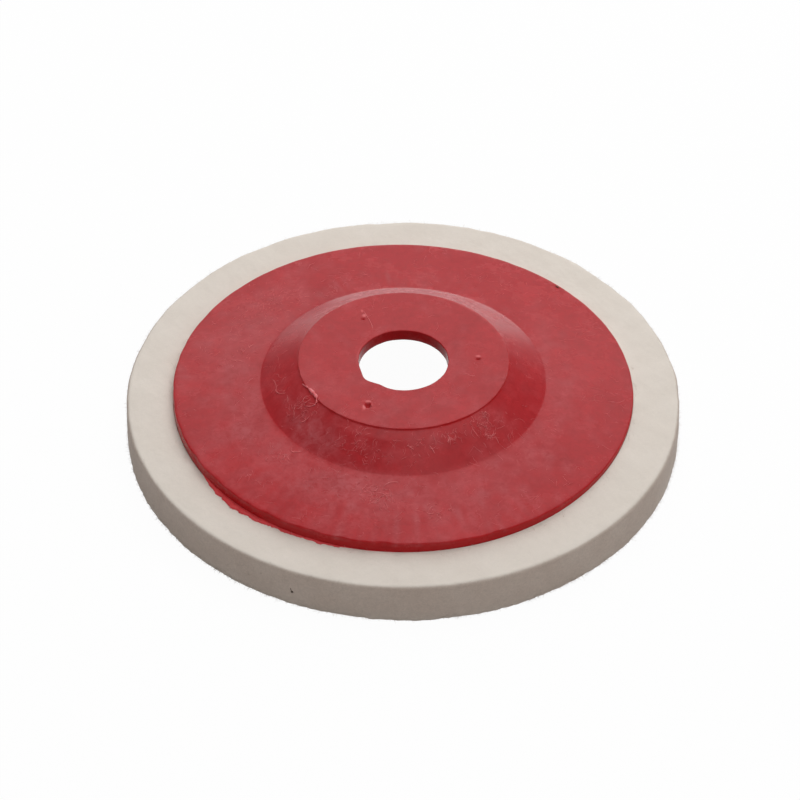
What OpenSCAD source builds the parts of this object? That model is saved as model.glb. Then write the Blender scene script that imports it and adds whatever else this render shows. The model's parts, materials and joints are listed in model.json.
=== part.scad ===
// Felt polishing wheel: a ring of pressed wool glued under a dished, moulded backing plate.
// Millimetres. The origin is the centre of the felt's working face, and +Z runs along the spindle
// axis, from the felt to the machine.

/* [Felt] */
// Outside diameter of the felt ring
felt_d = 100; // [92:1:125]
// Thickness of the felt ring
felt_t = 8.2; // [5:0.1:14]
// Opening in the felt for the machine's clamp nut
felt_hole_d = 49; // [48:0.5:52]
// Rounding of the felt's upper outer edge
felt_edge_r = 0.8; // [0.4:0.1:2]

/* [Glue] */
// Thickness of the glue film, which the plate presses into the felt
glue_t = 0.3; // [0.2:0.05:0.6]
// Rings of glue that fill the grooves under the flange
groove_count = 5; // [2:1:6]
// Width of a groove at its mouth
groove_w = 1.2; // [0.6:0.1:1.6]
// Depth of a groove
groove_depth = 0.5; // [0.2:0.1:0.8]

/* [Backing plate] */
// Outside diameter of the plate
plate_d = 83; // [78:0.5:88]
// Thickness of the flange at its rim
rim_t = 1.7; // [1.2:0.1:2.4]
// Rise of the flange from its rim to the foot of the cone
flange_rise = 1.85; // [1:0.05:2.4]
// Diameter at the foot of the cone
cone_d = 51.4; // [50:0.2:56]
// Diameter of the hub's clamping face
hub_d = 38; // [35:0.5:40]
// Height of the hub's clamping face above the felt
hub_h = 8.1; // [7.6:0.1:9.4]
// Step from the clamping face down to the cone
hub_step = 0.6; // [0.4:0.1:1]
// Thickness of the hub and of the cone's wall
wall_t = 2.1; // [1.6:0.1:2.6]

/* [Arbor bore] */
// Diameter of the bore
bore_d = 16; // [10:0.5:20]
// Depth of the nick that trimming left in the bore's edge
nick_depth = 0.45; // [0.2:0.05:0.8]
// Direction of the nick around the bore
nick_angle = -139; // [-180:1:180]

/* [Gate marks] */
// Places where the plastic was let into the mould
gate_count = 3; // [2:1:6]
// Diameter of the circle that they lie on
gate_circle_d = 27; // [25:0.5:31]
// Direction of the first one
gate_angle = 2.5; // [0:0.5:90]
// Diameter of the sink around each
gate_d = 1.7; // [1.2:0.1:2.4]

/* [Hidden] */

felt_r = felt_d / 2;
felt_hole_r = felt_hole_d / 2;
plate_r = plate_d / 2;
cone_r = cone_d / 2;
hub_r = hub_d / 2;
bore_r = bore_d / 2;

// Heights, from the felt's working face
flange_z = felt_t;
film_z = felt_t - glue_t;
rim_z = flange_z + rim_t;
cone_z = rim_z + flange_rise;
hub_z = flange_z + hub_h;
step_z = hub_z - hub_step;
nut_seat_z = hub_z - wall_t;

// The cone's inner face runs parallel to its outer face, one wall away
cone_slope = (step_z - cone_z) / (cone_r - hub_r);
inner_cone_drop = wall_t * sqrt(1 + cone_slope * cone_slope);
function inner_cone_z(r) = cone_z + (cone_r - r) * cone_slope - inner_cone_drop;

// The nut's recess ends a little inside the felt's opening
recess_land = 0.5;
recess_r = felt_hole_r - recess_land;
nut_seat_r = cone_r - (nut_seat_z + inner_cone_drop - cone_z) / cone_slope;

// Roundings of the plate
bore_edge_r = 0.15;
hub_edge_r = 0.3;
step_fillet_r = 0.25;
cone_fillet_r = 1.2;
rim_edge_r = 0.3;
foot_edge_r = 0.1;
recess_edge_r = 0.3;
recess_fillet_r = 0.8;

// Roundings of the felt where it was cut
felt_foot_r = 0.6;
felt_hole_edge_r = 0.5;

groove_margin = 3;
groove_taper = 0.2;
groove_first_r = felt_hole_r + groove_margin;
groove_pitch = (plate_r - felt_hole_r - 2 * groove_margin) / (groove_count - 1);

nick_r = 1.9;
gate_depth = 0.35;
gate_stub_d = 0.8;
gate_stub_h = 0.22;

overcut = 0.5;
arc_step = 15;
$fn = 96;

function unit(v) = v / norm(v);
function short_turn(a) = a > 180 ? a - 360 : a < -180 ? a + 360 : a;

// Points of the arc that rounds corner b of the path a, b, c. Each point is [r, z, rounding].
function corner_arc(a, b, c) =
    let (
        p = [b[0], b[1]],
        u = unit([a[0], a[1]] - p),
        v = unit([c[0], c[1]] - p),
        half = acos(u * v) / 2,
        centre = p + unit(u + v) * b[2] / sin(half),
        from = p + u * b[2] / tan(half) - centre,
        to = p + v * b[2] / tan(half) - centre,
        start = atan2(from[1], from[0]),
        sweep = short_turn(atan2(to[1], to[0]) - start),
        steps = max(2, ceil(abs(sweep) / arc_step))
    )
    [for (k = [0:steps]) centre + b[2] * [cos(start + sweep * k / steps), sin(start + sweep * k / steps)]];

// A closed outline with every corner rounded as its third number says
function rounded(corners) =
    let (n = len(corners))
    [for (i = [0:n - 1]) each
        corners[i][2] == 0
            ? [[corners[i][0], corners[i][1]]]
            : corner_arc(corners[(i + n - 1) % n], corners[i], corners[(i + 1) % n])];

// The flange's underside from the felt's opening to the rim, in and out of the glue grooves
function groove_line() =
    [for (i = [0:groove_count - 1])
        let (r = groove_first_r + i * groove_pitch, half = groove_w / 2)
        each [
            [r - half, flange_z, 0],
            [r - half + groove_taper, flange_z + groove_depth, 0],
            [r + half - groove_taper, flange_z + groove_depth, 0],
            [r + half, flange_z, 0]
        ]];

function reversed(list) = [for (i = [len(list) - 1:-1:0]) list[i]];

function plate_outline() = rounded(concat(
    [
        [bore_r, nut_seat_z, bore_edge_r],
        [nut_seat_r, nut_seat_z, recess_fillet_r],
        [recess_r, inner_cone_z(recess_r), recess_fillet_r],
        [recess_r, flange_z, recess_edge_r]
    ],
    groove_line(),
    [
        [plate_r, flange_z, foot_edge_r],
        [plate_r, rim_z, rim_edge_r],
        [cone_r, cone_z, cone_fillet_r],
        [hub_r, step_z, step_fillet_r],
        [hub_r, hub_z, hub_edge_r],
        [bore_r, hub_z, bore_edge_r]
    ]
));

function film_outline() = rounded(concat(
    [
        [felt_hole_r, film_z, 0],
        [plate_r, film_z, 0],
        [plate_r, flange_z, 0]
    ],
    reversed(groove_line()),
    [[felt_hole_r, flange_z, 0]]
));

function felt_outline() = rounded([
    [felt_hole_r, 0, felt_hole_edge_r],
    [felt_r, 0, felt_foot_r],
    [felt_r, felt_t, felt_edge_r],
    [plate_r, felt_t, 0],
    [plate_r, film_z, 0],
    [felt_hole_r, film_z, 0]
]);

// What a gate leaves in the clamping face: a sink with the broken stub standing below the face
module gate_sink() {
    difference() {
        translate([0, 0, -gate_depth]) cylinder(d = gate_d, h = gate_depth + overcut);
        translate([0, 0, -gate_depth]) cylinder(d = gate_stub_d, h = gate_stub_h);
    }
}

module bore_nick() {
    rotate(nick_angle)
        translate([bore_r + nick_depth - nick_r, 0, nut_seat_z - overcut])
            cylinder(r = nick_r, h = wall_t + 2 * overcut);
}

module backing_plate() {
    color("#AE3A40")
        difference() {
            rotate_extrude() polygon(plate_outline());
            bore_nick();
            for (i = [0:gate_count - 1])
                rotate(gate_angle + i * 360 / gate_count)
                    translate([gate_circle_d / 2, 0, hub_z]) gate_sink();
        }
}

module glue_film() {
    color("#D9C08A")
        rotate_extrude() polygon(film_outline());
}

module felt_pad() {
    color("#DCD4CA")
        rotate_extrude() polygon(felt_outline());
}

backing_plate();
glue_film();
felt_pad();
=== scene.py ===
# Felt polishing wheel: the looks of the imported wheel, in the frame of its solids
import json

import bpy
import numpy as np
from mathutils import Matrix, Vector


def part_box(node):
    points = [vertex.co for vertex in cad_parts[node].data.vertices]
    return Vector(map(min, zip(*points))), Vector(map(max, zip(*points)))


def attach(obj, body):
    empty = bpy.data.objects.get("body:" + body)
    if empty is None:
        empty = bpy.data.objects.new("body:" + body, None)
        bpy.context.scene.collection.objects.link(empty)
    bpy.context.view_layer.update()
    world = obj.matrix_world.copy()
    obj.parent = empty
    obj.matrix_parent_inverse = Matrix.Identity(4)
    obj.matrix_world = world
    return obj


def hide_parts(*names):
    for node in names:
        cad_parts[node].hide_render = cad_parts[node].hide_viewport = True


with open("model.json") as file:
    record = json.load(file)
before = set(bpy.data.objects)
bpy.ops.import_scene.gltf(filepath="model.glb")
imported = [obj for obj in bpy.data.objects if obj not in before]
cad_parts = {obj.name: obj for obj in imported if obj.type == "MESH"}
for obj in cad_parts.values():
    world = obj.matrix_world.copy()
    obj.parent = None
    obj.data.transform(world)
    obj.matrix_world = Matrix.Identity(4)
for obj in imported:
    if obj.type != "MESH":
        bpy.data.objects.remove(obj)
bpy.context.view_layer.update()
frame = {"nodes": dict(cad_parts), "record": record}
mm = 0.001
tau = 2 * np.pi
tiny = 1e-6                                            # keeps lengths off zero and tests of level safe
scene = bpy.context.scene
scene.view_settings.view_transform = "Standard"
print("frame loaded:", sorted(frame["nodes"]))


def linearColour(hexColour):  # sRGB hex to linear RGBA
    srgb = np.array([int(hexColour[i:i + 2], 16) for i in (1, 3, 5)]) / 255
    linear = np.where(srgb <= 0.04045, srgb / 12.92, ((srgb + 0.055) / 1.055) ** 2.4)
    return (*linear.tolist(), 1.0)


def scaleFor(sizeMm):  # texture scale whose features are about this many millimetres
    return 1 / (sizeMm * mm)


def addNode(tree, kind, sockets=None, **settings):  # one node, its settings, its values and its links
    node = tree.nodes.new(kind)
    for name, value in settings.items():
        setattr(node, name, value)
    for key, value in (sockets or {}).items():
        if isinstance(value, bpy.types.NodeSocket):
            tree.links.new(value, node.inputs[key])
        else:
            node.inputs[key].default_value = value
    return node


def newMaterial(name):
    material = bpy.data.materials.new(name)
    material.use_nodes = True
    material.node_tree.nodes.clear()
    return material, material.node_tree


# One piece, from points in millimetres and polygons as arrays of corner numbers
def meshPiece(name, points, polygons, material):
    mesh = bpy.data.meshes.new(name)
    sizes = np.concatenate([np.full(len(p), p.shape[1]) for p in polygons])
    corners = np.concatenate([p.ravel() for p in polygons])
    mesh.vertices.add(points.size // 3)
    mesh.vertices.foreach_set("co", (points * mm).astype(np.float32).ravel())
    mesh.loops.add(len(corners))
    mesh.loops.foreach_set("vertex_index", corners.astype(np.int32))
    mesh.polygons.add(len(sizes))
    mesh.polygons.foreach_set("loop_start", (np.cumsum(sizes) - sizes).astype(np.int32))
    mesh.update(calc_edges=True)
    mesh.validate()
    mesh.shade_smooth()
    mesh.materials.append(material)
    piece = bpy.data.objects.new(name, mesh)
    scene.collection.objects.link(piece)
    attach(piece, "root")
    return piece


def gridQuads(rows, columns, closedRows=True):  # columns always join up; rows do so on a full turn
    i, j = np.meshgrid(np.arange(rows if closedRows else rows - 1), np.arange(columns), indexing="ij")
    row = i * columns
    nextRow = ((i + 1) % rows) * columns
    nextColumn = (j + 1) % columns
    return np.stack([row + j, nextRow + j, nextRow + nextColumn, row + nextColumn], -1).reshape(-1, 4)


notAlong = (0.31, 0.23, 0.92)                          # a direction that no path follows


# Tubes: round each path of points a ring of a few sides, at the path's half width, in the plane square to
# it. paths is (tubes, points, 3) and halfWidth (tubes, points). Both ends are closed.
def tubes(paths, halfWidth, sides=3):
    count, length = halfWidth.shape
    along = unit(np.gradient(paths, axis=1))
    aside = unit(np.cross(along, notAlong) + tiny)
    upward = np.cross(aside, along)
    turn = (np.arange(sides) / sides * tau)[:, None]
    ring = aside[:, :, None] * np.cos(turn) + upward[:, :, None] * np.sin(turn)
    points = paths[:, :, None] + ring * halfWidth[:, :, None, None]
    first = (np.arange(count) * length * sides)[:, None, None]
    quads = first + gridQuads(length, sides, False)
    starts = first[:, 0] + np.arange(sides)
    ends = first[:, 0] + (length - 1) * sides + np.arange(sides)[::-1]
    return points.reshape(-1, 3), [quads.reshape(-1, 4), starts, ends]


def joined(shapes):  # several (points, polygons) as one
    offsets = np.cumsum([0] + [len(points) for points, _ in shapes[:-1]])
    polygons = [p + offset for (_, group), offset in zip(shapes, offsets) for p in group]
    return np.concatenate([points for points, _ in shapes]), polygons


def paintAttribute(piece, name, values):  # one number for each vertex, which a material reads
    layer = piece.data.attributes.new(name, "FLOAT", "POINT")
    layer.data.foreach_set("value", values.astype(np.float32).ravel())


# Plane cosine waves in random directions, added up: their size, about how long they are, how many, the seed
def waves(points, size, lengthMm, count, seed, spread=(0.7, 1.4)):
    rng = np.random.default_rng(seed)
    direction = unit(rng.normal(size=(count, points.shape[-1])))
    direction *= tau / (lengthMm * rng.uniform(*spread, (count, 1)))
    return size * np.cos(points @ direction.T + rng.uniform(0, tau, count)).sum(-1) * np.sqrt(2 / count)


# Cosines that go round a whole number of times, added up: their size, the fewest and most turns, the seed
def ripple(angle, size, fewest, most, seed):
    rng = np.random.default_rng(seed)
    turns = np.arange(fewest, most + 1)
    share = rng.normal(size=turns.size) / np.sqrt(turns.size)
    return size * (np.cos(angle[..., None] * turns + rng.uniform(0, tau, turns.size)) * share).sum(-1)


def hump(angle, centreDeg, widthDeg):  # bell round one direction
    away = (angle - np.radians(centreDeg) + np.pi) % tau - np.pi
    return np.exp(-(away / np.radians(widthDeg)) ** 2)


def humps(angle, rows):  # several of them: size, direction and width of each
    return sum(size * hump(angle, centreDeg, widthDeg) for size, centreDeg, widthDeg in rows)


def ringBell(r, middle, width):  # bell round one radius
    return np.exp(-((r - middle) / width) ** 2)


def smoothStep(x):
    x = np.clip(x, 0, 1)
    return x * x * (3 - 2 * x)


def unit(v):
    return v / np.linalg.norm(v, axis=-1, keepdims=True)


# Each corner is (r, z, rounding, steps in the run that follows, share of the rim's lift). An arc tangent to
# both runs takes the place of the corner, and each run is cut into equal steps.
def roundedOutline(corners, arcDeg=16):
    corners = np.array(corners, float)
    place = corners[:, :2]
    rounding, steps, share = corners[:, 2:].T
    before = unit(np.roll(place, 1, 0) - place)
    after = unit(np.roll(place, -1, 0) - place)
    half = np.arccos(np.clip((before * after).sum(1), -1, 1)) / 2
    reach = rounding / np.tan(half)
    rows = []
    for k in range(len(corners)):
        n = (k + 1) % len(corners)
        arc = place[k:k + 1]
        if rounding[k]:
            centre = place[k] + unit(before[k] + after[k]) * rounding[k] / np.sin(half[k])
            start = place[k] + before[k] * reach[k] - centre
            end = place[k] + after[k] * reach[k] - centre
            sweep = np.arctan2(start[0] * end[1] - start[1] * end[0], start @ end)
            turn = np.linspace(0, sweep, max(3, int(abs(np.degrees(sweep)) / arcDeg) + 2))[:, None]
            arc = centre + start * np.cos(turn) + np.array([-start[1], start[0]]) * np.sin(turn)
        rows.append(np.column_stack([arc, np.full(len(arc), share[k])]))
        along = (np.arange(1, int(steps[k])) / steps[k])[:, None]
        runStart = np.append(arc[-1], share[k])
        runEnd = np.append(place[n] + before[n] * reach[n], share[n])
        rows.append(runStart + (runEnd - runStart) * along)
    return np.concatenate(rows)


def outlineNormals(outline):  # unit normals to the right of a path in (r, z)
    along = np.roll(outline[:, :2], -1, 0) - np.roll(outline[:, :2], 1, 0)
    return unit(np.column_stack([along[:, 1], -along[:, 0]]))


def turned(angle, r, z):  # a ring coordinate to x, y, z
    return np.stack([r * np.cos(angle), r * np.sin(angle), z], -1)


# Camera, at the photo's viewing angle, for a square picture
camera = {
    "targetMm": (0, 0, 8),
    "distanceMm": 664,
    "elevationDeg": 41.42,
    "rollDeg": 0.546,
    "focalPx": 3673.5,
    "picturePx": 800,
    "targetPx": (403.16, 394.84),
    "sensorMm": 36,
}


def addCamera(c):
    data = bpy.data.cameras.new("camera")
    data.sensor_width = c["sensorMm"]
    data.lens = c["focalPx"] / c["picturePx"] * c["sensorMm"]
    middle = c["picturePx"] / 2
    data.shift_x = (middle - c["targetPx"][0]) / c["picturePx"]
    data.shift_y = (c["targetPx"][1] - middle) / c["picturePx"]
    eye = bpy.data.objects.new("camera", data)
    elevation = np.radians(c["elevationDeg"])
    outwards = Vector((0, -np.cos(elevation), np.sin(elevation)))
    turn = outwards.to_track_quat("Z", "Y").to_matrix().to_4x4()
    roll = Matrix.Rotation(np.radians(c["rollDeg"]), 4, "Z")
    place = (Vector(c["targetMm"]) + outwards * c["distanceMm"]) * mm
    eye.matrix_world = Matrix.Translation(place) @ turn @ roll
    scene.collection.objects.link(eye)
    scene.camera = eye


addCamera(camera)
print("camera placed")


# Materials. Sockets that go by number: a Mix has its share at 0 and its colours at 6 and 7, a Map Range its
# value at 0, its range at 1 and 2 and the new range at 3 and 4, a Math its values from 0, and a Mix Shader
# its share at 0 and its shaders at 1 and 2.

plastic = {
    "cloudMm": 7, "powderMm": 1.1,                     # clouds of dust, whose grains are too fine to show
    "peelMm": 0.9, "peelDepthMm": 0.05,                # the slight unevenness of the mould's skin
    "powderShare": 0.7, "toneRange": (0.4, 1.3),       # how the two sizes of cloud make the uneven red
    "powderRange": (0.32, 0.68), "dustShare": (0.35, 1.65), "dustColour": "#DCC6CC",
    "scuffAndHighlightColour": "#E8787A",
    "cloudRange": (0.3, 0.7), "roughness": (0.23, 0.3),
    "hazeColour": "#FFF7FD",
}


# Injection-moulded ABS: a saturated red, slightly uneven, under the soft haze that a satin mould skin and
# fine dust give to faces that lie open. Wool dust dulls it to pink in clouds, most where the bloom attribute
# says. A pale pink goes where the attribute for scuffs and highlights says: scuffed plastic on the flash and
# shaving, a painted highlight on the edges of bore and hub, and both on the gate nubs.
def mouldedPlastic(p, name, darker, lighter, haze):
    material, tree = newMaterial(name)
    place = addNode(tree, "ShaderNodeTexCoord").outputs["Object"]
    cloud = addNode(tree, "ShaderNodeTexNoise", {
        "Vector": place, "Scale": scaleFor(p["cloudMm"]), "Detail": 8.0, "Roughness": 0.72})
    powder = addNode(tree, "ShaderNodeTexNoise", {
        "Vector": place, "Scale": scaleFor(p["powderMm"]), "Detail": 4.0, "Roughness": 0.65,
        "Distortion": 0.8})
    peel = addNode(tree, "ShaderNodeTexNoise", {
        "Vector": place, "Scale": scaleFor(p["peelMm"]), "Detail": 3.0})
    uneven = addNode(tree, "ShaderNodeMath", {
        0: powder.outputs["Fac"], 1: p["powderShare"], 2: cloud.outputs["Fac"]}, operation="MULTIPLY_ADD")
    low, high = p["toneRange"]
    tone = addNode(tree, "ShaderNodeMapRange", {0: uneven.outputs[0], 1: low, 2: high})
    body = addNode(tree, "ShaderNodeMix", {
        0: tone.outputs[0], 6: linearColour(darker), 7: linearColour(lighter)}, data_type="RGBA")
    bloom = addNode(tree, "ShaderNodeAttribute", attribute_name="bloom")
    low, high = p["powderRange"]
    least, most = p["dustShare"]
    patchy = addNode(tree, "ShaderNodeMapRange", {
        0: powder.outputs["Fac"], 1: low, 2: high, 3: least, 4: most})
    dusting = addNode(tree, "ShaderNodeMath", {
        0: bloom.outputs["Fac"], 1: patchy.outputs[0]}, operation="MULTIPLY")
    dusted = addNode(tree, "ShaderNodeMix", {
        0: dusting.outputs[0], 6: body.outputs[2], 7: linearColour(p["dustColour"])}, data_type="RGBA")
    scuffAndHighlight = addNode(tree, "ShaderNodeAttribute", attribute_name="scuffAndHighlight")
    wornAndHighlighted = addNode(tree, "ShaderNodeMix", {
        0: scuffAndHighlight.outputs["Fac"], 6: dusted.outputs[2], 7: linearColour(p["scuffAndHighlightColour"])}, data_type="RGBA")
    low, high = p["cloudRange"]
    least, most = p["roughness"]
    rough = addNode(tree, "ShaderNodeMapRange", {
        0: cloud.outputs["Fac"], 1: low, 2: high, 3: least, 4: most})
    skin = addNode(tree, "ShaderNodeBump", {
        "Height": peel.outputs["Fac"], "Strength": 0.4, "Distance": p["peelDepthMm"] * mm})
    shader = addNode(tree, "ShaderNodeBsdfPrincipled", {
        "Base Color": wornAndHighlighted.outputs[2], "Roughness": rough.outputs[0], "IOR": 1.5, "Specular IOR Level": 0.15,
        "Sheen Weight": haze, "Sheen Roughness": 0.35, "Sheen Tint": linearColour(p["hazeColour"]),
        "Normal": skin.outputs[0]})
    addNode(tree, "ShaderNodeOutputMaterial", {"Surface": shader.outputs[0]})
    return material


wool = {
    "mottleMm": 6,
    "tuftMm": 0.6, "tuftDepthMm": 0.1,                 # tufts, as single fibres are too fine to show
    # the cut's colours are darker than the face's: painted shade for the rim's sides
    "faceDark": "#DFD5CA", "faceLight": "#E9E0D6", "cutShadeDark": "#BCA99C", "cutShadeLight": "#CDBEB2",
    "faceContrast": 0.1, "cutContrast": 0.3,           # of the tufts, and what is added where it was cut
    "tuftMiddle": 0.52,                                # the tuft noise's own mean
}


# Pressed wool felt: dead matt, warm off-white, mottled where the fibres lie thicker, with a downy sheen at
# the turn of an edge. Where the die cut it, as the cut attribute says, a darker colour is painted: painted
# shade for the open fibre ends.
def pressedFelt(w):
    material, tree = newMaterial("pressed_wool_felt")
    place = addNode(tree, "ShaderNodeTexCoord").outputs["Object"]
    mottle = addNode(tree, "ShaderNodeTexNoise", {
        "Vector": place, "Scale": scaleFor(w["mottleMm"]), "Detail": 4.0})
    tufts = addNode(tree, "ShaderNodeTexNoise", {
        "Vector": place, "Scale": scaleFor(w["tuftMm"]), "Detail": 4.0, "Distortion": 1.5})
    face = addNode(tree, "ShaderNodeMix", {
        0: mottle.outputs["Fac"], 6: linearColour(w["faceDark"]), 7: linearColour(w["faceLight"]),
    }, data_type="RGBA")
    cutEndsShaded = addNode(tree, "ShaderNodeMix", {
        0: mottle.outputs["Fac"], 6: linearColour(w["cutShadeDark"]), 7: linearColour(w["cutShadeLight"]),
    }, data_type="RGBA")
    cut = addNode(tree, "ShaderNodeAttribute", attribute_name="cut")
    faced = addNode(tree, "ShaderNodeMix", {
        0: cut.outputs["Fac"], 6: face.outputs[2], 7: cutEndsShaded.outputs[2]}, data_type="RGBA")
    # the tufts show as light and shade, faint on the pressed face and clearer where it was cut
    contrast = addNode(tree, "ShaderNodeMath", {
        0: cut.outputs["Fac"], 1: w["cutContrast"], 2: w["faceContrast"]}, operation="MULTIPLY_ADD")
    offset = addNode(tree, "ShaderNodeMath", {
        0: tufts.outputs["Fac"], 1: w["tuftMiddle"]}, operation="SUBTRACT")
    combed = addNode(tree, "ShaderNodeMath", {
        0: offset.outputs[0], 1: contrast.outputs[0], 2: 1.0}, operation="MULTIPLY_ADD")
    shade = addNode(tree, "ShaderNodeVectorMath", {
        0: faced.outputs[2], "Scale": combed.outputs[0]}, operation="SCALE")
    relief = addNode(tree, "ShaderNodeBump", {
        "Height": tufts.outputs["Fac"], "Strength": 0.3, "Distance": w["tuftDepthMm"] * mm})
    shader = addNode(tree, "ShaderNodeBsdfPrincipled", {
        "Base Color": shade.outputs[0], "Roughness": 0.95, "IOR": 1.45, "Specular IOR Level": 0.15,
        "Sheen Weight": 0.12, "Sheen Roughness": 0.6, "Normal": relief.outputs[0]})
    addNode(tree, "ShaderNodeOutputMaterial", {"Surface": shader.outputs[0]})
    return material


# Loose wool fibres: soft and dull, a little paler or darker from hair to hair. On the plate they are so thin
# that its red shows through them; the lint's pink is that red painted in, as painted light.
def looseWool(name, darker, lighter, toneMm=3):
    material, tree = newMaterial(name)
    place = addNode(tree, "ShaderNodeTexCoord").outputs["Object"]
    tone = addNode(tree, "ShaderNodeTexNoise", {"Vector": place, "Scale": scaleFor(toneMm), "Detail": 1.0})
    hair = addNode(tree, "ShaderNodeMix", {
        0: tone.outputs["Fac"], 6: linearColour(darker), 7: linearColour(lighter)}, data_type="RGBA")
    shader = addNode(tree, "ShaderNodeBsdfPrincipled", {
        "Base Color": hair.outputs[2], "Roughness": 0.6, "IOR": 1.55, "Specular IOR Level": 0.3})
    addNode(tree, "ShaderNodeOutputMaterial", {"Surface": shader.outputs[0]})
    return material


# Cured contact glue: amber, smooth and slightly cloudy.
def curedGlue(darker="#B98F4E", lighter="#DCC48E", cloudMm=2.5, lumpMm=0.1):
    material, tree = newMaterial("cured_amber_glue")
    place = addNode(tree, "ShaderNodeTexCoord").outputs["Object"]
    cloud = addNode(tree, "ShaderNodeTexNoise", {"Vector": place, "Scale": scaleFor(cloudMm), "Detail": 3.0})
    amber = addNode(tree, "ShaderNodeMix", {
        0: cloud.outputs["Fac"], 6: linearColour(darker), 7: linearColour(lighter)}, data_type="RGBA")
    lumps = addNode(tree, "ShaderNodeBump", {
        "Height": cloud.outputs["Fac"], "Strength": 0.4, "Distance": lumpMm * mm})
    shader = addNode(tree, "ShaderNodeBsdfPrincipled", {
        "Base Color": amber.outputs[2], "Roughness": 0.3, "IOR": 1.5, "Normal": lumps.outputs[0]})
    addNode(tree, "ShaderNodeOutputMaterial", {"Surface": shader.outputs[0]})
    return material


# Polishing grit: near black, dull grains.
def polishingGrit(darker="#35281F", lighter="#57463A", grainMm=0.4):
    material, tree = newMaterial("dull_polishing_grit")
    place = addNode(tree, "ShaderNodeTexCoord").outputs["Object"]
    tone = addNode(tree, "ShaderNodeTexNoise", {"Vector": place, "Scale": scaleFor(grainMm)})
    grain = addNode(tree, "ShaderNodeMix", {
        0: tone.outputs["Fac"], 6: linearColour(darker), 7: linearColour(lighter)}, data_type="RGBA")
    shader = addNode(tree, "ShaderNodeBsdfPrincipled", {"Base Color": grain.outputs[2], "Roughness": 0.7})
    addNode(tree, "ShaderNodeOutputMaterial", {"Surface": shader.outputs[0]})
    return material


redPlastic = mouldedPlastic(plastic, "moulded_red_abs", "#991B20", "#C43136", 0.45)
# the walls' brighter, cleaner red is painted light for faces that lie in shade
wallPlasticLightened = mouldedPlastic(plastic, "clean_red_abs_wall_lightened", "#B0191D", "#C32327", 0.0)
# the flash's bright red is painted light, for a fin in the rim's shadow and for light through thin plastic
lightenedFlashPlastic = mouldedPlastic(plastic, "thin_red_flash_lightened", "#DC3236", "#EA4C50", 0.2)
woolFelt = pressedFelt(wool)
# the lint's pink is painted light: the plate's red as it shows through pale wool
lintWool = looseWool("loose_wool_lint", "#F87B7F", "#FA9C9C")
napWool = looseWool("wool_nap_ends", "#BBA99C", "#DDD3C8")
glue = curedGlue()
grit = polishingGrit()
print("materials made")


# Backing plate. Humps are (size, direction, width in degrees), ripples (size, fewest and most turns, seed)
# and waves (size, length in mm, count, seed), here and below.
plateLow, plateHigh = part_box("backing_plate")
arborBore = next(m for m in frame["record"]["mounts"] if m["name"] == "arbor_bore")
plate = {
    "steps": 590,                                      # round the axis
    "rim": plateHigh.x / mm, "flangeZ": plateLow.z / mm, "hubZ": plateHigh.z / mm,
    "bore": arborBore["dims"]["r_mm"],
    "rimT": 1.7, "flangeRise": 1.85, "cone": 25.7, "hub": 19.0, "hubStep": 0.38, "wall": 2.1,
    "recess": 24.0, "recessRise": 2.11, "nutSeat": 17.41,  # the clamp nut's recess under the hub
    "boreEdge": 0.15, "recessFillet": 0.8, "recessEdge": 0.3, "footEdge": 0.1,  # roundings
    "rimEdge": 0.3, "coneFillet": 0.7, "stepFillet": 0.3, "hubEdge": 0.12,
    "grooves": 5, "grooveW": 1.2, "grooveDepth": 0.5, "grooveTaper": 0.2,
    "grooveFirst": 27.5, "groovePitch": 2.75,
    "liftMm": 0.6, "liftDeg": -115, "liftRipple": (0.05, 3, 9, 11),  # the flange stands higher at one side
    "boreHumps": [(0.47, -144.5, 9.5), (-0.3, -121, 9)],  # the nick, and the lip that bulges in beside it
    "boreRipple": (0.02, 4, 30, 12), "boreReach": 2,
    "flareHumps": [(0.3, 90, 70)],                     # the bore widens upwards at the back
    "trimHumps": [(-0.68, -96, 58), (-0.35, -150.5, 5.5)], "trimReach": 1.3, "trimBelow": 0.12,
    "hubRipple": (0.03, 20, 90, 13), "hubReach": 0.35,
    "wearRipple": (0.1, 10, 70, 17), "wearLeast": 0.06, "wearReach": 0.4,  # chips in the rim's upper edge
    "wearShare": 0.3, "wearHumps": [(0.7, -115, 60)],
    "gateR": 13.5, "gateBand": 1.6,                    # the face has finer steps where the gates are
    "faceDropMm": 0.07,                                # the face lies below the tops of the gates' nubs
    # what each gate left: x, y, half width, height, share of width along y
    "nubs": [(13.42, 1.3, 0.42, 0.07, 0.7), (-7.2, 12.3, 0.38, 0.07, 1.2), (-7.64, 13.7, 0.2, 0.05, 1.0),
             (-6.2, -11.25, 0.5, 0.07, 0.75), (-6.9, -12.75, 0.26, 0.06, 2.6),
             (-5.55, -12.0, 0.12, 0.04, 3.0)],
    "sinks": [(13.4, 0.6, 0.4, -0.4, 0.6), (-7.4, 11.35, 0.28, -0.3, 0.9), (-6.2, -12.15, 0.5, -0.7, 1.25)],
    "nubPaleAndHighlight": 0.75,
    # painted highlights on the edges of bore and hub: the humps, and how far from the edge and how wide in mm
    "boreHighlight": [(0.4, 165, 20)], "boreHighlightOut": 0.1, "boreHighlightReach": 0.2,
    "hubHighlight": [(0.5, 46, 20)], "hubHighlightReach": 0.15, "hubHighlightAbove": 0.1,
    "openRun": 0.8,                                    # runs that go inwards this much lie open
    "dustBelow": 0.6,                                  # dust reaches this far down the rim
}
plate["rimZ"] = plate["flangeZ"] + plate["rimT"]
plate["coneZ"] = plate["rimZ"] + plate["flangeRise"]
plate["faceZ"] = plate["hubZ"] - plate["faceDropMm"]
plate["stepZ"] = plate["hubZ"] - plate["hubStep"]

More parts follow.
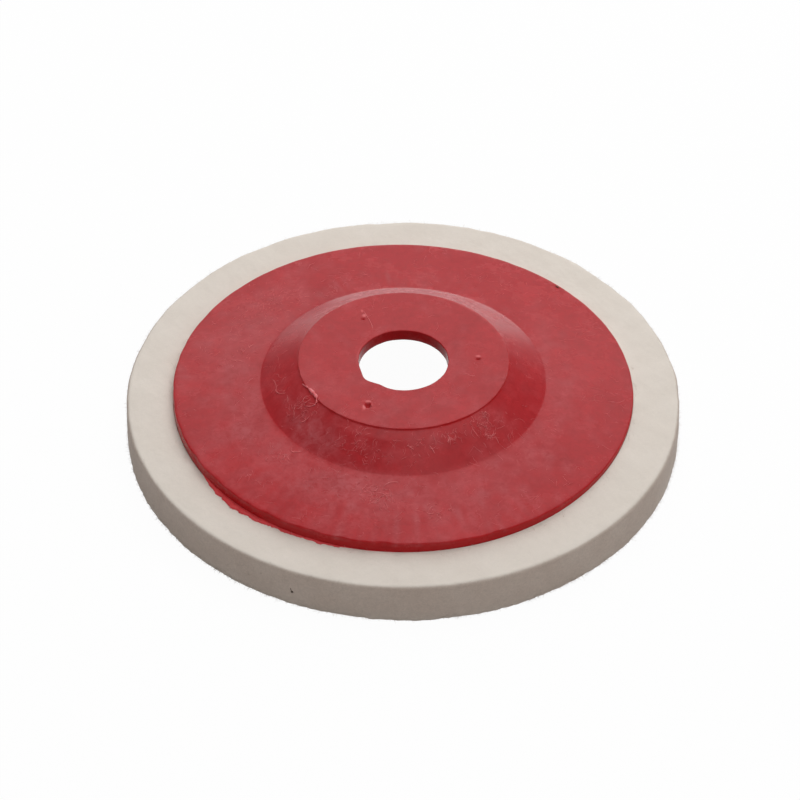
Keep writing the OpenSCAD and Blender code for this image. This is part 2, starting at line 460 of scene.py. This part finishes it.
dust = {
    "film": 0.007, "filmWaves": [(0.008, 9, 30, 14), (0.008, 3, 40, 15)], "most": 0.3,
    "foot": 0.012, "footOut": 2, "footReach": 3.5, "footFade": 0.3,  # thicker outside the cone's foot
    # clouds: direction, width in degrees, radius, width in mm, strength, which is below 0 for a painted shade
    # that thins the dust
    "clouds": [(-133, 27, 23, 3.0, 0.068), (-106, 32, 31, 5, 0.042), (-46, 18, 22.5, 2.5, 0.022),
               (150, 40, 33, 6, 0.025), (-160, 30, 30, 5, 0.02), (-70, 25, 36, 5, 0.015),
               (-25, 30, 29, 4, 0.015), (-88, 26, 24.3, 1.8, -0.02), (180, 25, 22.5, 3, -0.015),
               (0, 30, 22.5, 3, -0.01)],
    "cleanRim": [(0.01, 0, 50)], "cleanRimFrom": 30, "cleanRimOver": 8, "backPaintedShade": [(0.015, 85, 60)],
    # streaks along the radius where the flange was wiped
    "streakRipple": (0.013, 50, 140, 16), "streakWaves": (0.7, 8, 20, 18),
    "frontStreaks": [(1, -105, 65)], "frontFrom": 31, "frontOver": 6,
    "backStreaks": [(0.8, 112, 38)], "backR": 29, "backReach": 3,
}


def rimLift(angle):  # how far the rim's upper edge lies above its true height, round the wheel
    p = plate
    return p["liftMm"] * np.cos(angle - np.radians(p["liftDeg"])) + ripple(angle, *p["liftRipple"])


def hubTrim(angle):  # how far trimming took the hub's edge in, broadly at the front and once more at its left
    return humps(angle, plate["trimHumps"])


def plateHeight(x, y):  # height of the plate's upper face: flat on the hub, then straight to foot and rim
    p = plate
    r = np.hypot(x, y)
    angle = np.arctan2(y, x)
    z = np.interp(r, [p["hub"], p["cone"], p["rim"]], [p["stepZ"], p["coneZ"], p["rimZ"]])
    z = np.where(r < p["hub"] + hubTrim(angle), p["faceZ"], z)
    return z + np.interp(r, [p["cone"], p["rim"]], [0, 1]) * rimLift(angle)


def plateCorners(p):  # from the bore's foot out under the plate, and back over its top
    seatZ = p["hubZ"] - p["wall"]
    faceZ = p["faceZ"]
    rows = [
        (p["bore"], seatZ, p["boreEdge"], 6, 0),
        (p["nutSeat"], seatZ, p["recessFillet"], 5, 0),
        (p["recess"], p["flangeZ"] + p["recessRise"], p["recessFillet"], 2, 0),
        (p["recess"], p["flangeZ"], p["recessEdge"], 1, 0),
    ]
    half = p["grooveW"] / 2
    for k in range(p["grooves"]):                      # glue grooves under the flange
        r = p["grooveFirst"] + k * p["groovePitch"]
        top = p["flangeZ"] + p["grooveDepth"]
        rows += [(r - half, p["flangeZ"], 0, 1, 0), (r - half + p["grooveTaper"], top, 0, 1, 0),
                 (r + half - p["grooveTaper"], top, 0, 1, 0), (r + half, p["flangeZ"], 0, 1, 0)]
    rows += [
        (p["rim"], p["flangeZ"], p["footEdge"], 5, 0),
        (p["rim"], p["rimZ"], p["rimEdge"], 22, 1),
        (p["cone"], p["coneZ"], p["coneFillet"], 9, 0),
        (p["hub"], p["stepZ"], p["stepFillet"], 1, 0),
        (p["hub"], faceZ, p["hubEdge"], 7, 0),
        (p["gateR"] + p["gateBand"], faceZ, 0, 28, 0),
        (p["gateR"] - p["gateBand"], faceZ, 0, 8, 0),
        (p["bore"], faceZ, p["boreEdge"], 4, 0),
    ]
    return rows


# The outline turned round the axis. Humps in the radius make the bore's nick, its flare and the trimmed edge
# of the hub, and each fades with the distance from its edge. Random ripples roughen bore, hub and rim.
def plateRings(p, outline, angle):
    r = np.repeat(outline[None, :, 0], p["steps"], 0)
    z = outline[:, 1] + outline[:, 2] * rimLift(angle)
    nick = humps(angle, p["boreHumps"]) + ripple(angle, *p["boreRipple"])
    r = r + nick * (1 - smoothStep((r - p["bore"]) / p["boreReach"]))
    flare = humps(angle, p["flareHumps"]) * smoothStep((z - p["hubZ"] + p["wall"]) / p["wall"])
    r = r + flare * (1 - smoothStep((r - p["bore"]) / p["boreReach"]))
    r = r + hubTrim(angle) * ringBell(r, p["hub"], p["trimReach"]) * (z > p["stepZ"] - p["trimBelow"])
    ragged = ripple(angle, *p["hubRipple"]) * (z > p["hubZ"] - p["hubStep"] / 2)
    r = r + ragged * ringBell(r, p["hub"], p["hubReach"])
    wear = np.minimum(ripple(angle, *p["wearRipple"]) - p["wearLeast"], 0)
    wear = wear * (p["wearShare"] + humps(angle, p["wearHumps"])) * (z > p["flangeZ"] + p["rimT"] / 2)
    return r + wear * ringBell(r, p["rim"], p["wearReach"]), z


# Dust is an even film with random waves, plus the clouds, less what was cleaned off at the rim and less a
# painted shade that thins it at the back, which keeps that part darker. Wiping left streaks: ripples round
# the wheel, times random waves.
def plateDust(d, angle, r, points):
    bloom = d["film"] + sum(waves(points, *row) for row in d["filmWaves"])
    onFlange = smoothStep((r - plate["cone"] + d["footFade"]) / (2 * d["footFade"]))
    bloom += d["foot"] * ringBell(r, plate["cone"] + d["footOut"], d["footReach"]) * onFlange
    for direction, spread, middle, width, strength in d["clouds"]:
        side = onFlange if middle > plate["cone"] else 1 - onFlange  # a cloud stops at the cone's foot
        bloom += strength * hump(angle, direction, spread) * ringBell(r, middle, width) * side
    # less dust at the rim's right, and at the back less again as painted shade
    outer = smoothStep((r - d["cleanRimFrom"]) / d["cleanRimOver"])
    bloom -= humps(angle, d["cleanRim"]) * outer + humps(angle, d["backPaintedShade"])
    wiped = humps(angle, d["frontStreaks"]) * smoothStep((r - d["frontFrom"]) / d["frontOver"])
    wiped += humps(angle, d["backStreaks"]) * ringBell(r, d["backR"], d["backReach"])
    bloom += wiped * ripple(angle, *d["streakRipple"]) * (1 + waves(points, *d["streakWaves"]))
    return np.clip(bloom, 0, d["most"])


# The rings above, with a nub or sink added to the hub's face at each gate: a bell with a flat top, e to the
# minus fourth power of the distance in half widths.
def makePlate(p):
    outline = roundedOutline(plateCorners(p))
    angle = (np.arange(p["steps"]) / p["steps"] * tau)[:, None]
    r, z = plateRings(p, outline, angle)
    points = turned(angle, r, z)
    onFace = outline[:, 1] > p["faceZ"] - tiny
    # a painted highlight in pale pink along the bore's left edge and the hub's back right edge
    scuffAndHighlight = humps(angle, p["boreHighlight"]) * onFace
    scuffAndHighlight = scuffAndHighlight * ringBell(r, p["bore"] + p["boreHighlightOut"], p["boreHighlightReach"])
    hubHighlight = humps(angle, p["hubHighlight"]) * (z > p["stepZ"] + p["hubHighlightAbove"])
    scuffAndHighlight += hubHighlight * ringBell(r, p["hub"], p["hubHighlightReach"])
    for x, y, width, height, stretch in p["nubs"] + p["sinks"]:
        away = np.hypot(points[..., 0] - x, (points[..., 1] - y) / stretch)
        bell = np.where(onFace, np.exp(-(away / width) ** 4), 0)
        points[..., 2] += height * bell
        # each nub is painted pale pink, partly a snapped gate's own pale and partly a painted highlight; a
        # sink takes it off
        scuffAndHighlight += p["nubPaleAndHighlight"] * bell * np.sign(height)
    piece = meshPiece("backing_plate_moulding", points, [gridQuads(p["steps"], len(outline))], redPlastic)
    # walls and the underside stay clean of haze, so they have the wall's material, whose brighter red is
    # painted light for their shade
    run = unit(np.roll(outline[:, :2], -1, 0) - outline[:, :2])
    isWall = np.tile(run[:, 0] > -p["openRun"], p["steps"])
    piece.data.materials.append(wallPlasticLightened)
    piece.data.polygons.foreach_set("material_index", isWall.astype(np.int32))
    upper = outline[:, 1] > p["rimZ"] - p["dustBelow"]
    paintAttribute(piece, "bloom", plateDust(dust, angle, r, points) * upper)
    paintAttribute(piece, "scuffAndHighlight", np.clip(scuffAndHighlight, 0, 1))
    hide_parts("backing_plate")


makePlate(plate)
print("backing plate made")


# Moulding flash: a thin ragged fin that the mould's parting left at the rim's foot, lying on the felt, and a
# pale shaving along the hub's edge
flash = {
    "steps": 900, "rootMm": 0.3,                       # the fin starts this far inside the rim
    "rootZ": plate["flangeZ"] + 0.42, "edgeZ": plate["flangeZ"] + 0.14, "underZ": plate["flangeZ"] - 0.08,
    # the fin: direction and width in mm
    "fin": [(-148, 0), (-142, 0.75), (-137, 1.25), (-129, 1.2), (-123, 0.6), (-107, 0.5), (-102, 0.14),
            (-65, 0.1), (-62, 0)],
    "widthShare": 0.85, "widthLimits": (0.3, 1.2),     # the ragged edge, as shares of that width
    "widthRipples": [(0.17, 30, 120, 31), (0.05, 150, 420, 32)],
    "middleRipple": (0.05, 40, 160, 33), "edgeRipple": (0.06, 30, 160, 34),
    # the shaving: direction, radius, height above the plate and half width in mm
    "shaving": [(-161, 19.0, -0.05, 0.05), (-155, 18.45, -0.1, 0.22), (-150, 18.2, -0.12, 0.34),
                (-146.5, 18.35, -0.1, 0.24), (-144, 18.95, 0, 0.08), (-143.4, 19.5, 0.06, 0.06),
                (-145, 20.2, 0.06, 0.055), (-148, 20.8, 0.06, 0.045)],
    "shavingSteps": 70, "shavingSides": 6,
    "shavingBumps": [(0.3, 5.3), (0.15, 11.9)],        # share of the half width, radians from row to row
    "finBloom": 0.02, "finScuff": 0.1, "shavingBloom": 0.25, "shavingScuff": 0.35,
}


# The fin's section is a thin wedge from the rim outwards. Its width runs through the listed widths, times a
# sum of ripples, so its edge is ragged.
def flashFin(f):
    direction, widths = np.array(f["fin"]).T
    degrees = np.linspace(direction[0], direction[-1], f["steps"])[:, None]
    angle = np.radians(degrees)
    rough = f["widthShare"] + sum(ripple(angle, *row) for row in f["widthRipples"])
    width = np.interp(degrees, direction, widths) * np.clip(rough, *f["widthLimits"])
    rim = plate["rim"]
    inner = np.full_like(width, rim - f["rootMm"])
    r = np.hstack([inner, rim + width / 2, rim + width, rim + width, rim + width / 2, inner])
    under = np.full_like(width, f["underZ"])
    edgeZ = f["edgeZ"] + ripple(angle, *f["edgeRipple"])
    middleZ = (f["rootZ"] + f["edgeZ"]) / 2 + ripple(angle, *f["middleRipple"])
    z = np.hstack([under, under, under, edgeZ, middleZ, np.full_like(width, f["rootZ"])])
    sides = r.shape[1]
    caps = np.arange(sides)[None]
    faces = [gridQuads(f["steps"], sides, False), caps, (f["steps"] - 1) * sides + caps[:, ::-1]]
    return turned(angle, r, z).reshape(-1, 3), faces


# The shaving is a tube through the listed places, which a running mean of five points makes smooth. It lies
# on the hub's edge and hooks down over the cone, and two sines make its width uneven.
def hubShaving(f):
    knots = np.array(f["shaving"])
    s = np.linspace(0, len(knots) - 1, f["shavingSteps"])
    turn, r, above, half = (np.interp(s, np.arange(len(knots)), column) for column in knots.T)
    bumpy = 1 + sum(share * np.sin(rate * s) for share, rate in f["shavingBumps"])
    x, y, _ = turned(np.radians(turn), r, 0 * s).T
    path = np.stack([x, y, plateHeight(x, y) + above], -1)
    path[2:-2] = (path[:-4] + path[1:-3] + path[2:-2] + path[3:-1] + path[4:]) / 5
    points, faces = tubes(path[None], (half * bumpy)[None], f["shavingSides"])
    points[:, 2] = np.minimum(points[:, 2], plate["hubZ"])
    return points, faces


def makeFlash(f):
    fin = flashFin(f)
    points, polygons = joined([fin, hubShaving(f)])
    piece = meshPiece("moulding_flash", points, polygons, lightenedFlashPlastic)
    isShaving = np.arange(len(points)) >= len(fin[0])
    paintAttribute(piece, "bloom", np.where(isShaving, f["shavingBloom"], f["finBloom"]))
    paintAttribute(piece, "scuffAndHighlight", np.where(isShaving, f["shavingScuff"], f["finScuff"]))


makeFlash(flash)
print("moulding flash made")


# Felt pad
_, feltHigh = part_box("felt_pad")
filmLow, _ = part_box("glue_film")
felt = {
    "steps": 760,                                      # round the axis
    "rim": feltHigh.x / mm, "top": feltHigh.z / mm, "hole": 24.5,
    "seat": plate["rim"], "seatZ": filmLow.z / mm,     # where the plate is pressed in
    "edge": 0.8, "foot": 0.6, "holeEdge": 0.5, "seatEdge": 0.1, "arcDeg": 12,  # roundings
    "riseMm": 0.45, "riseDeg": -25, "riseReach": 2.2,  # the felt swells up against the plate at one side
    "swellHumps": [(0.5, -10, 35)],                    # and most of all here
    "reliefWaves": [(0.045, 11, 40, 20), (0.02, 3.5, 40, 21), (0.01, 1.2, 40, 22)],
    "reliefSunk": 0.08, "seatFree": 0.4, "seatDepth": 1,  # the relief fades out towards the plate's seat
    "outRipple": (0.05, 2, 16, 23), "outMost": 0.08, "outBand": 1,  # the die cut it slightly out of round
    "topBand": 0.05,                                   # points this near the top rise with it
    "frayRipple": (0.07, 40, 190, 24), "frayReach": 0.6, "frayBand": 1.5,
    "cutFrom": 0.35, "cutOver": 0.55,                  # how steep a face counts as cut
    "footPale": 0.5, "footReach": 1.2,
}


def feltRise(angle):  # how far the felt's top swells up at the plate's rim: a raised cosine and humps
    f = felt
    broad = f["riseMm"] * (0.5 + 0.5 * np.cos(angle - np.radians(f["riseDeg"])))
    return broad + humps(angle, f["swellHumps"])


def feltCorners(f):  # from the hole's foot out to the rim, and back over the top into the plate's seat
    return [
        (f["hole"], 0, f["holeEdge"], 20, 0),
        (f["rim"], 0, f["foot"], 20, 0),
        (f["rim"], f["top"], f["edge"], 20, 0),
        (f["seat"], f["top"], f["seatEdge"], 1, 0),
        (f["seat"], f["seatZ"], 0, 4, 0),
        (f["hole"], f["seatZ"], 0, 8, 0),
    ]


# The outline turned round the axis and moved along its own normals by three sizes of random waves. The rim is
# slightly out of round, and the top rises against the plate, falling off with the distance from it.
def makeFelt(f):
    outline = roundedOutline(feltCorners(f), f["arcDeg"])
    normal = outlineNormals(outline)
    angle = (np.arange(f["steps"]) / f["steps"] * tau)[:, None]
    r = np.repeat(outline[None, :, 0], f["steps"], 0)
    z = np.repeat(outline[None, :, 1], f["steps"], 0)
    points = turned(angle, r, z)
    inSeat = smoothStep((f["seat"] + f["seatFree"] - r) / f["seatFree"]) * (z > f["seatZ"] - f["seatDepth"])
    relief = sum(waves(points, *row) for row in f["reliefWaves"]) - f["reliefSunk"]
    out = np.minimum(ripple(angle, *f["outRipple"]), f["outMost"]) * (r > f["rim"] - f["outBand"])
    move = (1 - inSeat) * relief + out
    r = r + normal[:, 0] * move
    z = z + normal[:, 1] * move
    lift = feltRise(angle) * np.exp(-np.maximum(r - f["seat"], 0) / f["riseReach"])
    z = z + lift * (outline[:, 1] > f["top"] - f["topBand"])
    # the foot of the rim is frayed
    fray = ripple(angle, *f["frayRipple"]) * np.exp(-z / f["frayReach"])
    r = r + fray * (r > f["rim"] - f["frayBand"])
    points = turned(angle, r, np.maximum(z, 0))
    piece = meshPiece("felt_ring", points, [gridQuads(f["steps"], len(outline))], woolFelt)
    # towards the foot the cut's painted shade gives way to a paler colour, painted light for frayed ends that
    # let light through
    cut = smoothStep((np.abs(normal[:, 0]) - f["cutFrom"]) / f["cutOver"])
    paintAttribute(piece, "cut", cut * (1 - f["footPale"] * np.exp(-z / f["footReach"])))
    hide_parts("felt_pad")


makeFelt(felt)
print("felt made")


# Nap: short fibre ends that stand out of the felt where it was cut
nap = {
    "seed": 41, "points": 4,
    "halfMm": (0.012, 0.022), "taper": 0.6,            # half width, and the share of it lost at the tip
    "sunkMm": 0.12, "rootMm": 0.05, "insetMm": 0.6,    # how far in a root lies, and more at the rounded edges
    "spread": 0.45, "bend": 0.5,                       # how far head and tip stray, as shares of a length
    # lowest and highest share of the rim's height, count, least and greatest length in mm
    "bands": [(0.0, 0.14, 4200, 0.1, 0.36), (0.14, 0.85, 2000, 0.1, 0.3), (0.85, 1.0, 1300, 0.1, 0.3)],
    # wisps on the felt's top that lean on the foot of the plate's rim
    "wisps": 420, "wispMm": (0.4, 1.1), "wispOut": (0.15, 1.3),
    "wispTurnRad": 1.9, "wispClimb": (0.1, 0.5), "wispBend": 0.35, "wispSunkMm": 0.12, "wispGapMm": 0.03,
    "lowestMm": 0.03,
}


# From each root along its head, bending more and more to one side
def parabolas(root, head, bend, length, s):
    return root[:, None] + length[:, None, None] * (s * head[:, None] + s ** 2 * bend[:, None])


# Each fibre is a parabola from just under the surface: outwards at first, then bending to one side.
def makeNap(n):
    rng = np.random.default_rng(n["seed"])
    s = np.linspace(0, 1, n["points"])[None, :, None]
    paths = []
    for low, high, count, shortest, longest in n["bands"]:
        angle = rng.uniform(0, tau, count)
        z = felt["top"] * rng.uniform(low, high, count)
        # the rim's edges are rounded, so a root near top or bottom lies further in
        fromEdge = np.clip(np.minimum(z / felt["foot"], (felt["top"] - z) / felt["edge"]), 0, 1)
        inset = n["insetMm"] * (1 - np.sqrt(1 - (1 - fromEdge) ** 2))
        lean = np.where(z > felt["top"] / 2, 1, -1) * (1 - fromEdge)
        out = unit(turned(angle, np.ones(count), lean))
        root = turned(angle, felt["rim"] - inset - n["rootMm"], z) - n["sunkMm"] * out
        head = unit(out + rng.normal(scale=n["spread"], size=(count, 3)))
        bend = rng.normal(scale=n["bend"], size=(count, 3))
        length = rng.uniform(shortest, longest, count) + n["sunkMm"]
        paths.append(parabolas(root, head, bend, length, s))
    count = n["wisps"]
    angle = rng.uniform(0, tau, count)
    out = rng.uniform(*n["wispOut"], count)
    rise = feltRise(angle) * np.exp(-out / felt["riseReach"])
    root = turned(angle, felt["seat"] + out, felt["top"] - n["wispSunkMm"] + rise)
    heading = angle + rng.uniform(-n["wispTurnRad"], n["wispTurnRad"], count)
    head = turned(heading, -np.ones(count), rng.uniform(*n["wispClimb"], count))
    bend = rng.normal(scale=n["wispBend"], size=(count, 3))
    wisps = parabolas(root, head, bend, rng.uniform(*n["wispMm"], count), s)
    r = np.linalg.norm(wisps[..., :2], axis=-1, keepdims=True)
    wisps[..., :2] *= np.maximum(r, felt["seat"] + n["wispGapMm"]) / r
    paths = np.concatenate(paths + [wisps])
    paths[..., 2] = np.maximum(paths[..., 2], n["lowestMm"])
    half = rng.uniform(*n["halfMm"], len(paths))[:, None] * (1 - n["taper"] * s[0, :, 0])
    points, polygons = tubes(paths, half)
    piece = meshPiece("felt_nap", points, polygons, napWool)


makeNap(nap)
print("nap made")


# Wool lint on the plate
lint = {
    "seed": 51, "points": 9,
    "halfMm": (0.015, 0.03),                           # real hairs are 0.01 to 0.02, drawn coarser to show
    "tip": 0.45,                                       # share of the half width at a tip
    "aboveMm": 0.02, "aboveShare": 0.5, "archMm": 0.12,  # height, plus a share of the half width and an arch
    "wobble": 0.35, "wobbleTurns": (0.6, 1.4), "curlWobble": 0.3,  # of the heading, in radians
    "boreGapMm": 0.6, "rimGapMm": 0.2,                 # hairs that come nearer to an edge fell off
    # patches: direction, radius, half spread round and across in mm, count, least and greatest length in mm
    "patches": [
        (-70, 21.0, 8.5, 1.4, 70, 0.4, 1.4), (-48, 21.6, 1.6, 1.8, 40, 0.5, 1.6),
        (-43, 19.9, 0.5, 0.5, 26, 0.3, 0.9), (-98, 30.5, 3.5, 2.6, 56, 0.6, 2.2),
        (-80, 35.5, 3.0, 2.2, 32, 0.5, 1.6), (-171, 23.0, 2.0, 1.2, 8, 0.6, 1.6),
        (-147, 21.2, 3.4, 1.6, 44, 0.5, 1.8), (140, 33.0, 6.5, 4.2, 130, 0.4, 1.3),
        (-135, 29.5, 2.5, 1.8, 18, 0.6, 1.8), (-110, 22.0, 5.0, 2.0, 60, 0.4, 1.4),
        (165, 31.0, 5.0, 4.0, 36, 0.4, 1.3), (60, 33.0, 9.0, 4.0, 30, 0.4, 1.2),
    ],
    "patchSpread": 0.6, "patchBendDeg": 90,
    "strays": 1800, "strayR": (9, 41), "strayMm": (0.3, 2.6), "strayHalfMm": (0.009, 0.018),
    "strayBendDeg": 50,
    # strays lie in clouds, and fewer have stayed at the right and on the hub
    "cloudWaves": (1, 11, 20, 52), "cloudSpread": 0.5, "cloudLeast": 0.2,
    "cleanHumps": [(0.4, 0, 60)], "cleanHub": 0.8,
    # single curls: x, y, heading in degrees, length in mm, turn along it in degrees, half width
    "curls": [
        (-22.9, -4.4, -85, 2.9, 75, 0.042), (-23.9, -1.5, -50, 3.8, -45, 0.03),
        (-18.6, -13.6, -40, 2.2, 100, 0.04), (14.3, -16.4, -60, 2.6, 160, 0.036),
        (15.0, -17.6, 20, 2.4, 260, 0.036), (13.2, -18.0, 200, 2.0, -150, 0.032),
        (12.0, -16.0, -70, 2.2, 40, 0.04), (7.7, -18.6, -20, 1.4, -130, 0.055),
        (8.5, -18.8, -110, 1.3, 30, 0.045), (4.6, -20.6, -58, 1.5, 10, 0.06),
        (0.8, -20.9, -27, 1.2, -10, 0.055), (-5.6, -29.0, -60, 2.2, 190, 0.045),
        (-4.6, -29.8, 10, 2.4, -80, 0.04), (-3.4, -28.6, 60, 3.0, -70, 0.042),
        (4.2, -34.0, -70, 1.6, 140, 0.04), (-21.6, -20.2, 20, 2.2, -200, 0.04),
        (-19.8, -19.4, -30, 2.0, 60, 0.04), (-7.5, 13.9, -62, 5.1, -16, 0.05),
        (-25.5, 26.0, -10, 1.3, 60, 0.036), (-22.0, 19.0, 30, 1.2, -70, 0.032),
        (-31.0, 20.5, 40, 1.3, 60, 0.032), (20.5, 3.0, 70, 1.2, 50, 0.04),
    ],
}


# Rows like those of the single curls, in radians, for hairs that start at r and angle: each draws its own
# heading, length, turn and half width
def strewn(rng, r, angle, lengthMm, bendDeg, halfMm):
    count = len(r)
    heading = rng.uniform(0, tau, count)
    length = rng.uniform(*lengthMm, count)
    bend = np.radians(rng.normal(scale=bendDeg, size=count))
    half = rng.uniform(*halfMm, count)
    return np.stack([r * np.cos(angle), r * np.sin(angle), heading, length, bend, half], -1)


def lintRows(v, rng):  # the hairs of the patches, the strays that lie in the clouds, and the single curls
    rows = []
    for direction, radius, around, across, count, shortest, longest in v["patches"]:
        r = radius + across * rng.normal(scale=v["patchSpread"], size=count)
        angle = np.radians(direction) + around * rng.normal(scale=v["patchSpread"], size=count) / radius
        rows.append(strewn(rng, r, angle, (shortest, longest), v["patchBendDeg"], v["halfMm"]))
    count = v["strays"]
    inner, outer = v["strayR"]
    r = np.sqrt(rng.uniform(inner ** 2, outer ** 2, count))
    angle = rng.uniform(0, tau, count)
    strays = strewn(rng, r, angle, v["strayMm"], v["strayBendDeg"], v["strayHalfMm"])
    cloud = waves(strays[:, :2], *v["cloudWaves"]) + rng.normal(scale=v["cloudSpread"], size=count)
    least = v["cloudLeast"] + humps(angle, v["cleanHumps"]) + v["cleanHub"] * (r < plate["hub"])
    curls = np.array(v["curls"], float)
    curls[:, [2, 4]] = np.radians(curls[:, [2, 4]])    # their headings and turns
    return np.concatenate(rows + [strays[cloud > least], curls])


# A fibre lies on the plate: its heading turns evenly along it, with a slow wobble on top, its course over the
# plate is the running sum of that heading, and its height is the plate's own there.
def makeLint(v):
    rng = np.random.default_rng(v["seed"])
    x, y, heading, length, bend, half = lintRows(v, rng).T[..., None]
    s = np.linspace(0, 1, v["points"])[None]
    wobble = rng.normal(scale=v["wobble"], size=x.shape)
    wobble = wobble * np.sin(tau * s * rng.uniform(*v["wobbleTurns"], x.shape))
    wobble[-len(v["curls"]):] *= v["curlWobble"]
    course = heading + bend * s + wobble
    step = length / (v["points"] - 1)
    x = x + np.cumsum(np.cos(course) * step, 1)
    y = y + np.cumsum(np.sin(course) * step, 1)
    r = np.hypot(x, y)
    keep = ((r > plate["bore"] + v["boreGapMm"]) & (r < plate["rim"] - v["rimGapMm"])).all(1)
    arch = rng.uniform(0, v["archMm"], (len(x), 1)) * np.sin(np.pi * s)
    z = plateHeight(x, y) + v["aboveMm"] + v["aboveShare"] * half + arch
    width = half * (v["tip"] + (1 - v["tip"]) * np.sin(np.pi * s))
    points, polygons = tubes(np.stack([x, y, z], -1)[keep], width[keep])
    piece = meshPiece("wool_lint", points, polygons, lintWool)


makeLint(lint)
print("lint made")


# Grit: a dark grain and its smear on the felt's rim, and a smear on the plate near its edge
grains = {
    # direction, radius, height or None on the plate, length round the wheel, fall along it, half width in mm
    "places": [(-112.1, 49.95, 3.4, 0.5, 0.1, 0.22), (-112.35, 49.97, 3.9, 0.4, 0.9, 0.08),
               (45.6, 40.8, None, 1.1, 0, 0.15)],
    "points": 7, "sides": 7, "tip": 0.12, "aboveShare": 0.3,
    "lumpShare": 0.15, "lumpRate": 14,                 # uneven by this share, in radians along the grain
}


# Each grain is a short tube whose half width swells and closes like half a sine.
def makeGrit(g):
    s = np.linspace(0, 1, g["points"])
    swell = (g["tip"] + (1 - g["tip"]) * np.sin(np.pi * s)) * (1 + g["lumpShare"] * np.cos(g["lumpRate"] * s))
    paths, halves = [], []
    for direction, radius, height, length, fall, half in g["places"]:
        angle = np.radians(direction) + length * (s - 0.5) / radius
        x, y, _ = turned(angle, radius, 0 * s).T
        z = plateHeight(x, y) + g["aboveShare"] * half if height is None else height - fall * (s - 0.5)
        paths.append(np.stack([x, y, z], -1))
        halves.append(half * swell)
    points, polygons = tubes(np.array(paths), np.array(halves), g["sides"])
    piece = meshPiece("polishing_grit", points, polygons, grit)


makeGrit(grains)
print("grit made")

filmMaterials = frame["nodes"]["glue_film"].data.materials
filmMaterials.clear()
filmMaterials.append(glue)
print("glue finished")


# Floor and light
studio = {
    "floorM": 6.0, "floorColour": "#EDEDED",
    "floorGlow": 0.97,                                 # share of its white that shows whatever falls on it
    "worldGrey": 0.18,
    # lamps: azimuth and elevation from the wheel in degrees, distance, width and height in metres, watts
    "lamps": {
        "back": (84, 40, 0.6, 0.56, 0.28, 1.0),
        "overhead": (50, 80, 0.8, 0.75, 0.75, 3.7),
        "low": (84, 3, 0.6, 0.34, 0.2, 0.88),
        "right": (0, 45, 0.8, 0.58, 0.43, 0.35),
        "front": (-80, 25, 0.9, 0.75, 0.4, 0.63),
    },
}


# Matt white table: it takes the wheel's shadow, and looks white to the camera and in gloss or glass.
def whiteTable(s):
    material, tree = newMaterial("matt_white_table")
    path = addNode(tree, "ShaderNodeLightPath")
    seen = addNode(tree, "ShaderNodeMath", {
        0: path.outputs["Is Camera Ray"], 1: path.outputs["Is Glossy Ray"]}, operation="MAXIMUM")
    seenToo = addNode(tree, "ShaderNodeMath", {
        0: seen.outputs[0], 1: path.outputs["Is Transmission Ray"]}, operation="MAXIMUM")
    share = addNode(tree, "ShaderNodeMath", {0: seenToo.outputs[0], 1: s["floorGlow"]}, operation="MULTIPLY")
    matt = addNode(tree, "ShaderNodeBsdfDiffuse", {"Color": linearColour(s["floorColour"])})
    white = addNode(tree, "ShaderNodeEmission", {"Color": linearColour("#FFFFFF"), "Strength": 1.0})
    both = addNode(tree, "ShaderNodeMixShader", {
        0: share.outputs[0], 1: matt.outputs[0], 2: white.outputs[0]})
    addNode(tree, "ShaderNodeOutputMaterial", {"Surface": both.outputs[0]})
    return material


def addFloor(s):
    mesh = bpy.data.meshes.new("floor")
    half = s["floorM"] / 2
    corners = [(-half, -half, 0), (half, -half, 0), (half, half, 0), (-half, half, 0)]
    mesh.from_pydata(corners, [], [(0, 1, 2, 3)])
    mesh.materials.append(whiteTable(s))
    floor = bpy.data.objects.new("floor", mesh)
    scene.collection.objects.link(floor)


def addLight(s):
    world = bpy.data.worlds.new("room")
    world.use_nodes = True
    world.node_tree.nodes["Background"].inputs["Color"].default_value = (s["worldGrey"],) * 3 + (1,)
    scene.world = world
    for name, (azimuthDeg, elevationDeg, distance, width, height, watts) in s["lamps"].items():
        data = bpy.data.lights.new(name, "AREA")
        data.shape = "RECTANGLE"
        data.size = width
        data.size_y = height
        data.energy = watts
        outwards = Vector(turned(np.radians(azimuthDeg), 1.0, np.tan(np.radians(elevationDeg)))).normalized()
        light = bpy.data.objects.new(name, data)
        light.location = outwards * distance
        light.rotation_euler = outwards.to_track_quat("Z", "Y").to_euler()
        scene.collection.objects.link(light)


addFloor(studio)
addLight(studio)
print("floor and light set")
